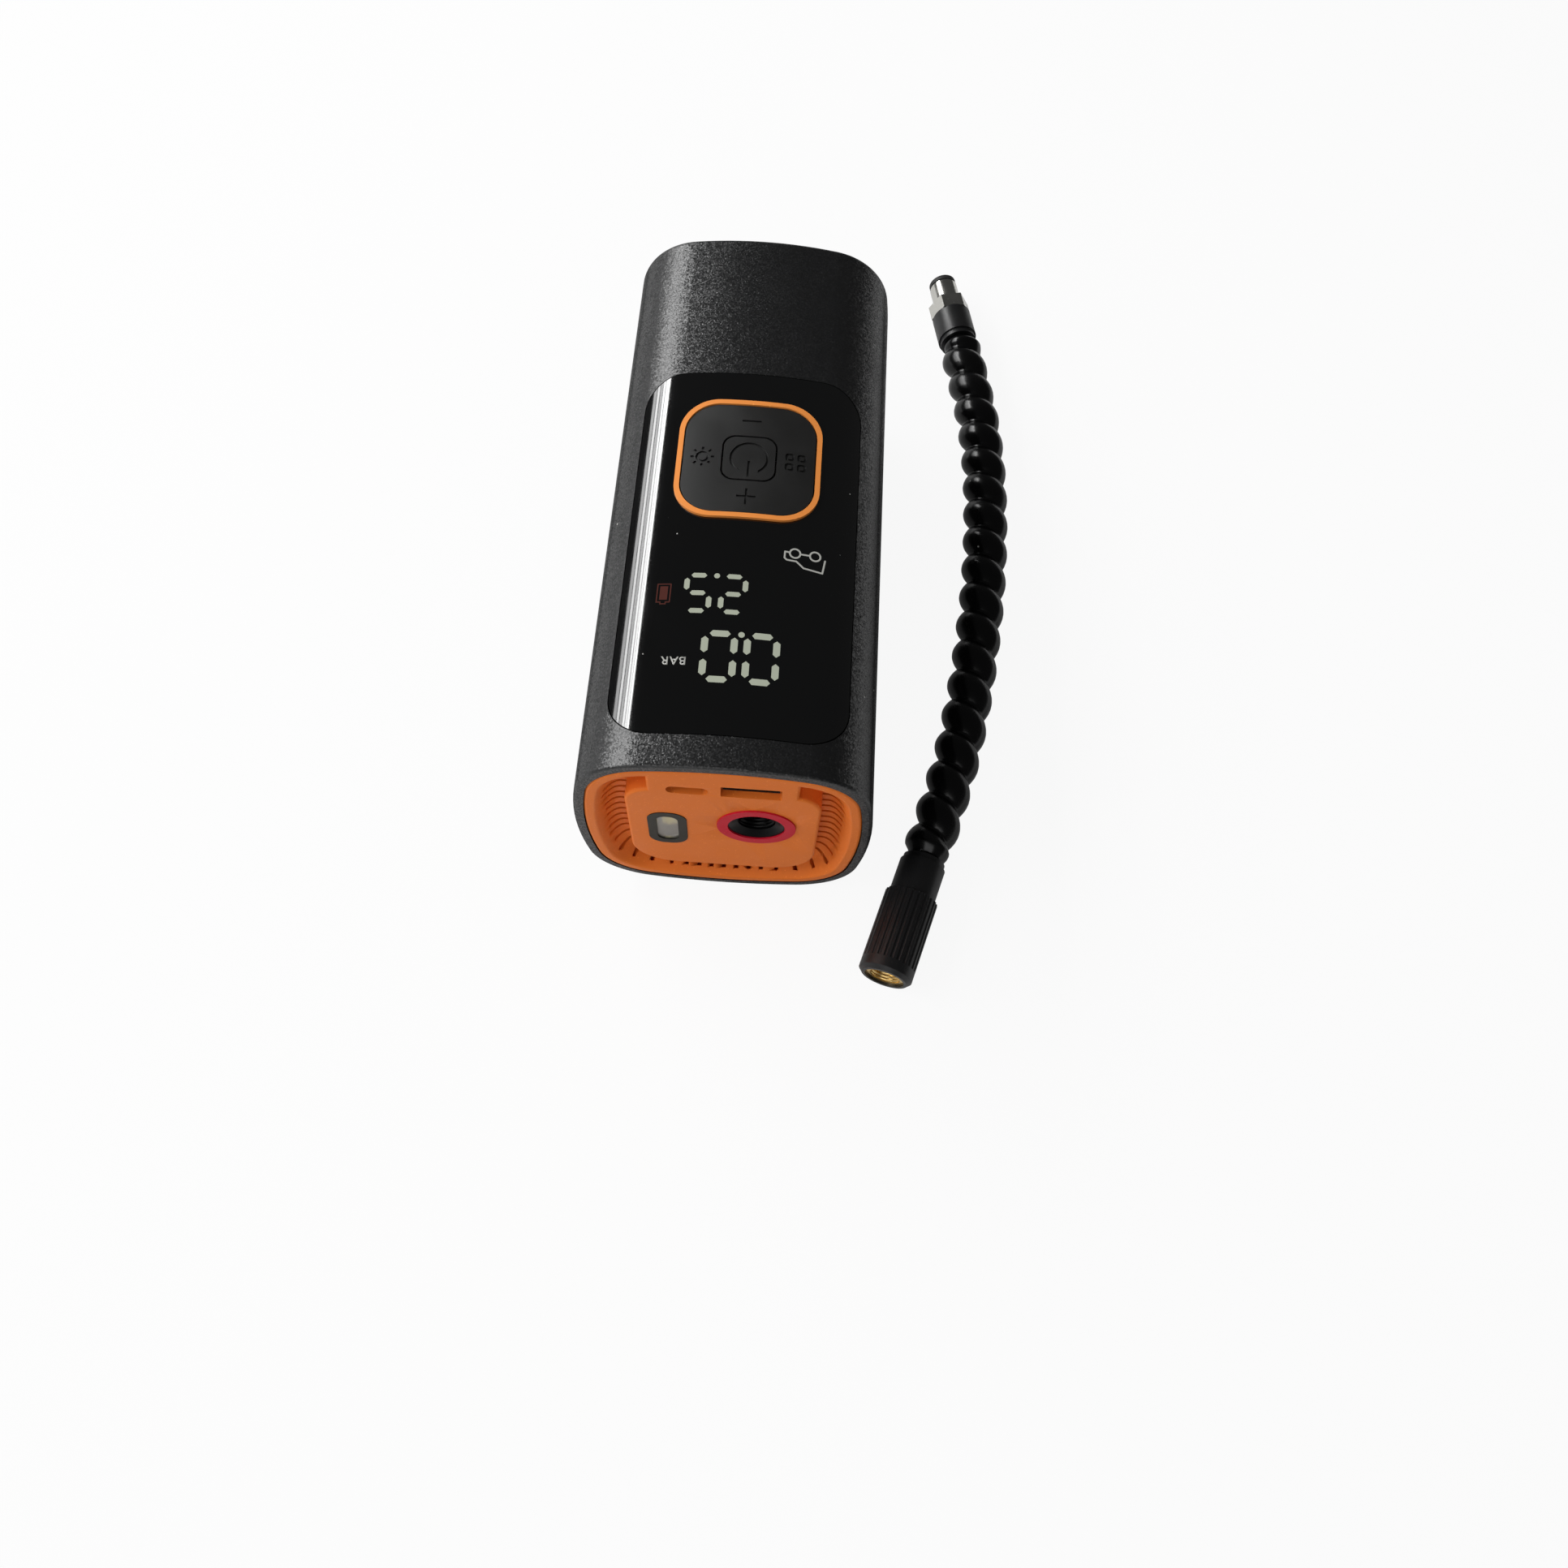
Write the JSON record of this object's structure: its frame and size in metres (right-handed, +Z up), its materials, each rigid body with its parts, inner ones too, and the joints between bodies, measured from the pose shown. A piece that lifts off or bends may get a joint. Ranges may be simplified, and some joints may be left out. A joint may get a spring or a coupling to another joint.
{
  "type": "portable tire inflator",
  "caption": "Battery tyre inflator: black rounded-square body, glossy display top with rocker pad, orange vented front with air port, light and USB sockets, and its ribbed hose.",
  "frame": {"origin": "centre of the body's footprint on the table", "axes": "+Z up through the display, -Y out of the orange front with the air port, +X towards the hose"},
  "size_m": [0.11, 0.2366, 0.0697],
  "materials": {
    "case_black": "fine sparkle texture, satin",
    "case_orange": "satin orange",
    "ring_orange": "semi gloss orange",
    "black_glass": "mirror gloss black",
    "soft_black": "soft touch",
    "gimbal_plastic": "natural",
    "port_red": "semi gloss red",
    "port_black": "gloss black",
    "bezel_grey": "satin grey",
    "light_window": "milky clear",
    "led_yellow": "phosphor",
    "board_green": "solder mask",
    "display_grey": "moulded",
    "switch_metal": "plated",
    "chip_black": "moulded",
    "steel": "bright",
    "aluminium": "cast",
    "brass": "machined",
    "gear_white": "moulded",
    "rubber_black": "matt",
    "silicone": "translucent",
    "cell_blue": "shrink wrap",
    "holder_black": "moulded",
    "hose_black": "glossy soft plastic",
    "fitting_black": "satin",
    "nickel": "nickel plate"
  },
  "bodies": {
    "body": {"housing": "case_black", "front_cap": "case_orange", "rear_cap": "case_black", "case_screws": "steel", "display_lens": "black_glass", "pad_ring": "ring_orange", "pad_base": "gimbal_plastic", "port_ring": "port_red", "port_insert": "port_black", "light_bezel": "bezel_grey", "light_lens": "light_window", "light_board": "board_green", "leds": "led_yellow", "usb_a_shell": "nickel", "usb_c_shell": "nickel", "usb_tongues": "chip_black", "dc_socket": "port_black", "main_board": "board_green", "board_screws": "steel", "board_carrier": "gimbal_plastic", "display_module": "display_grey", "tact_switches": "switch_metal", "board_chips": "chip_black", "pressure_sensor": "chip_black", "pump_frame": "aluminium", "frame_mounts": "rubber_black", "pump_screws": "steel", "motor_can": "steel", "motor_magnets": "chip_black", "end_bell": "chip_black", "crank_bush": "brass", "cylinder": "aluminium", "cylinder_head": "aluminium", "valve_spring": "steel", "outlet_tube": "silicone", "battery_cells": "cell_blue", "battery_holder": "holder_black", "battery_board": "board_green"},
    "rotor": {"rotor": "steel", "motor_shaft": "steel", "drive_pinion": "brass", "cooling_fan": "gear_white"},
    "crank": {"crank_gear": "gear_white", "crank_shaft": "steel", "crank_pin": "steel"},
    "piston": {"piston_rod": "aluminium", "piston_seal": "rubber_black"},
    "valve": {"valve_ball": "steel"},
    "gimbal": {"pad_gimbal": "gimbal_plastic"},
    "pad": {"control_pad": "soft_black"},
    "power_key": {"power_button": "soft_black"},
    "hose": {"hose": "hose_black", "front_ferrule": "fitting_black", "rear_ferrule": "fitting_black", "hose_inlet": "nickel", "inlet_seal": "rubber_black"},
    "chuck": {"chuck_sleeve": "fitting_black", "chuck_insert": "brass", "chuck_seal": "rubber_black", "valve_pin": "brass"}
  },
  "joints": [
    {"name": "rotor_spin", "type": "hinge", "parent": "body", "child": "rotor", "pos_m": [0, -0.0375, 0.031], "axis": [0, 1, 0], "continuous": true},
    {"name": "crank_spin", "type": "hinge", "parent": "body", "child": "crank", "pos_m": [-0.0168, -0.0375, 0.031], "axis": [0, 1, 0], "continuous": true},
    {"name": "piston_stroke", "type": "slide", "parent": "body", "child": "piston", "axis": [1, 0, 0], "range_m": [-0.01, 0]},
    {"name": "valve_lift", "type": "slide", "parent": "body", "child": "valve", "axis": [1, 0, 0], "range_m": [0, 0.0005], "stiffness_N_per_m": 20},
    {"name": "pad_rock_x", "type": "hinge", "parent": "body", "child": "gimbal", "pos_m": [0, 0.0052, 0.064], "axis": [1, 0, 0], "range_deg": [-1, 1], "stiffness_Nm_per_rad": 0.05},
    {"name": "pad_rock_y", "type": "hinge", "parent": "gimbal", "child": "pad", "pos_m": [0, 0.0052, 0.064], "axis": [0, 1, 0], "range_deg": [-1, 1], "stiffness_Nm_per_rad": 0.05},
    {"name": "power_press", "type": "slide", "parent": "body", "child": "power_key", "axis": [0, 0, -1], "range_m": [0, 0.0003], "stiffness_N_per_m": 100},
    {"name": "hose_lift", "type": "slide", "parent": "body", "child": "hose", "axis": [0, 0, 1], "range_m": [0, 0.1]},
    {"name": "chuck_spin", "type": "hinge", "parent": "hose", "child": "chuck", "pos_m": [0.04842, -0.08053, 0.0069], "axis": [-0.2893, -0.9572, 0], "continuous": true}
  ],
  "couplings": [
    {"joint": "crank_spin", "follows": "rotor_spin", "ratio": -0.4}
  ]
}
